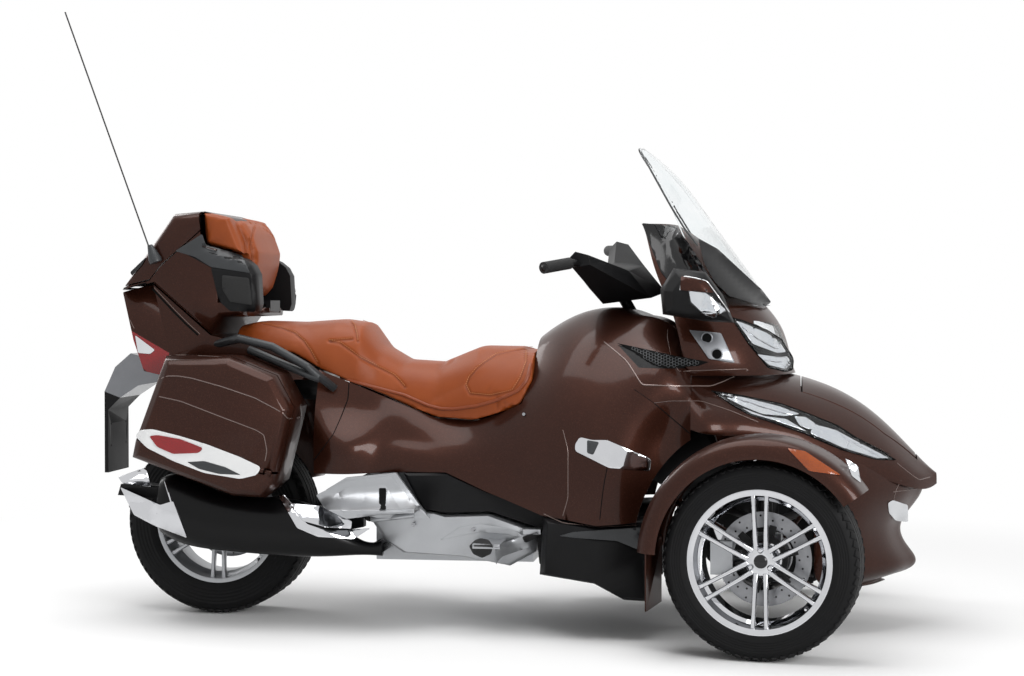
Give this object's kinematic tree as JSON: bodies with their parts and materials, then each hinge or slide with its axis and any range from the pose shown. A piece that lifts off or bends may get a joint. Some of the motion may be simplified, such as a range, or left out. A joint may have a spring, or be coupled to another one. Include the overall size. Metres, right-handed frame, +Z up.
{
  "type": "motorized trike",
  "caption": "Touring motorized trike with paired steered front wheels and a single driven rear wheel, luggage boxes and a clear windscreen, in dark brown.",
  "frame": {"origin": "middle of the whole box at the ground, below the body's middle", "axes": "+X forward, +Y to the rider's left, +Z up"},
  "size_m": [2.7363, 1.6124, 1.9318],
  "materials": {
    "brown_paint": "dark brown metallic, clear coated",
    "dark_plastic": "fine grained black",
    "frame_black": "satin black",
    "bright_chrome": "mirror polished",
    "cast_alloy": "satin cast alloy",
    "tyre_rubber": "matt",
    "grip_rubber": "matt ribbed",
    "tan_leather": "stitched, soft",
    "clear_screen": "clear, slightly smoked edge",
    "lamp_glass": "clear lens over bright reflectors",
    "red_lens": "red transparent"
  },
  "bodies": {
    "chassis": {"frame": "frame_black", "suspension": "frame_black", "engine": "cast_alloy", "swingarm": "frame_black", "silencer": "frame_black", "footrests": "cast_alloy", "lower_panels": "dark_plastic", "top_cover": "brown_paint", "side_fairings": "brown_paint", "middle_panels": "brown_paint", "hood_surround": "brown_paint", "front_trunk": "dark_plastic", "fascia": "brown_paint", "cowl": "brown_paint", "headlamps": "lamp_glass", "dash_and_grilles": "dark_plastic", "mirrors": "brown_paint", "windscreen": "clear_screen", "seat": "tan_leather", "pannier_right": "brown_paint", "pannier_left": "brown_paint", "top_case": "brown_paint", "arm_rests": "dark_plastic", "tail": "brown_paint", "tail_lamps": "red_lens", "plate_holder": "dark_plastic", "grab_rails": "dark_plastic"},
    "steering_bar": {"handlebar": "frame_black", "grips": "grip_rubber", "handlebar_cover": "dark_plastic"},
    "steered_right": {"knuckle_right": "cast_alloy", "fender_right": "brown_paint"},
    "steered_left": {"knuckle_left": "cast_alloy", "fender_left": "brown_paint"},
    "front_wheel_right": {"front_tyre_right": "tyre_rubber", "front_rim_right": "bright_chrome"},
    "front_wheel_left": {"front_tyre_left": "tyre_rubber", "front_rim_left": "bright_chrome"},
    "rear_wheel": {"rear_tyre": "tyre_rubber", "rear_rim": "cast_alloy"},
    "hood_lid": {"front_lid": "brown_paint"},
    "luggage_lid": {"top_case_lid": "brown_paint", "backrest": "tan_leather", "antenna": "frame_black"},
    "door_right": {"pannier_door_right": "brown_paint"},
    "door_left": {"pannier_door_left": "brown_paint"}
  },
  "joints": [
    {"name": "bar_steer", "type": "hinge", "parent": "chassis", "child": "steering_bar", "pos_m": [0.4, 0, 1], "axis": [-0.5, 0, 0.866], "range_deg": [-15, 35]},
    {"name": "right_steer", "type": "hinge", "parent": "chassis", "child": "steered_right", "pos_m": [0.8475, -0.586, 0.281], "axis": [0, 0, 1], "range_deg": [-13.5, 31.5]},
    {"name": "left_steer", "type": "hinge", "parent": "chassis", "child": "steered_left", "pos_m": [0.8475, 0.586, 0.281], "axis": [0, 0, 1], "range_deg": [-13.5, 31.5]},
    {"name": "right_spin", "type": "hinge", "parent": "steered_right", "child": "front_wheel_right", "pos_m": [0.83686, -0.65316, 0.281], "axis": [0.1564, 0.9877, 0], "continuous": true},
    {"name": "left_spin", "type": "hinge", "parent": "steered_left", "child": "front_wheel_left", "pos_m": [0.85814, 0.65316, 0.281], "axis": [0.1564, 0.9877, 0], "continuous": true},
    {"name": "rear_spin", "type": "hinge", "parent": "chassis", "child": "rear_wheel", "pos_m": [-0.9255, 0, 0.303], "axis": [0, 1, 0], "continuous": true},
    {"name": "hood_lid_swing", "type": "hinge", "parent": "chassis", "child": "hood_lid", "pos_m": [1.285, 0, 0.528], "axis": [0, 1, 0], "range_deg": [0, 40]},
    {"name": "luggage_lid_swing", "type": "hinge", "parent": "chassis", "child": "luggage_lid", "pos_m": [-0.765, 0, 0.985], "axis": [0, 1, 0], "range_deg": [0, 55]},
    {"name": "door_right_swing", "type": "hinge", "parent": "chassis", "child": "door_right", "pos_m": [-0.85, -0.447, 0.5365], "axis": [0.9742, 0, -0.2257], "range_deg": [0, 60]},
    {"name": "door_left_swing", "type": "hinge", "parent": "chassis", "child": "door_left", "pos_m": [-0.85, 0.447, 0.5365], "axis": [-0.9742, 0, 0.2257], "range_deg": [0, 60]}
  ],
  "couplings": [
    {"joint": "right_steer", "follows": "bar_steer", "ratio": 0.9},
    {"joint": "left_steer", "follows": "bar_steer", "ratio": 0.9}
  ]
}
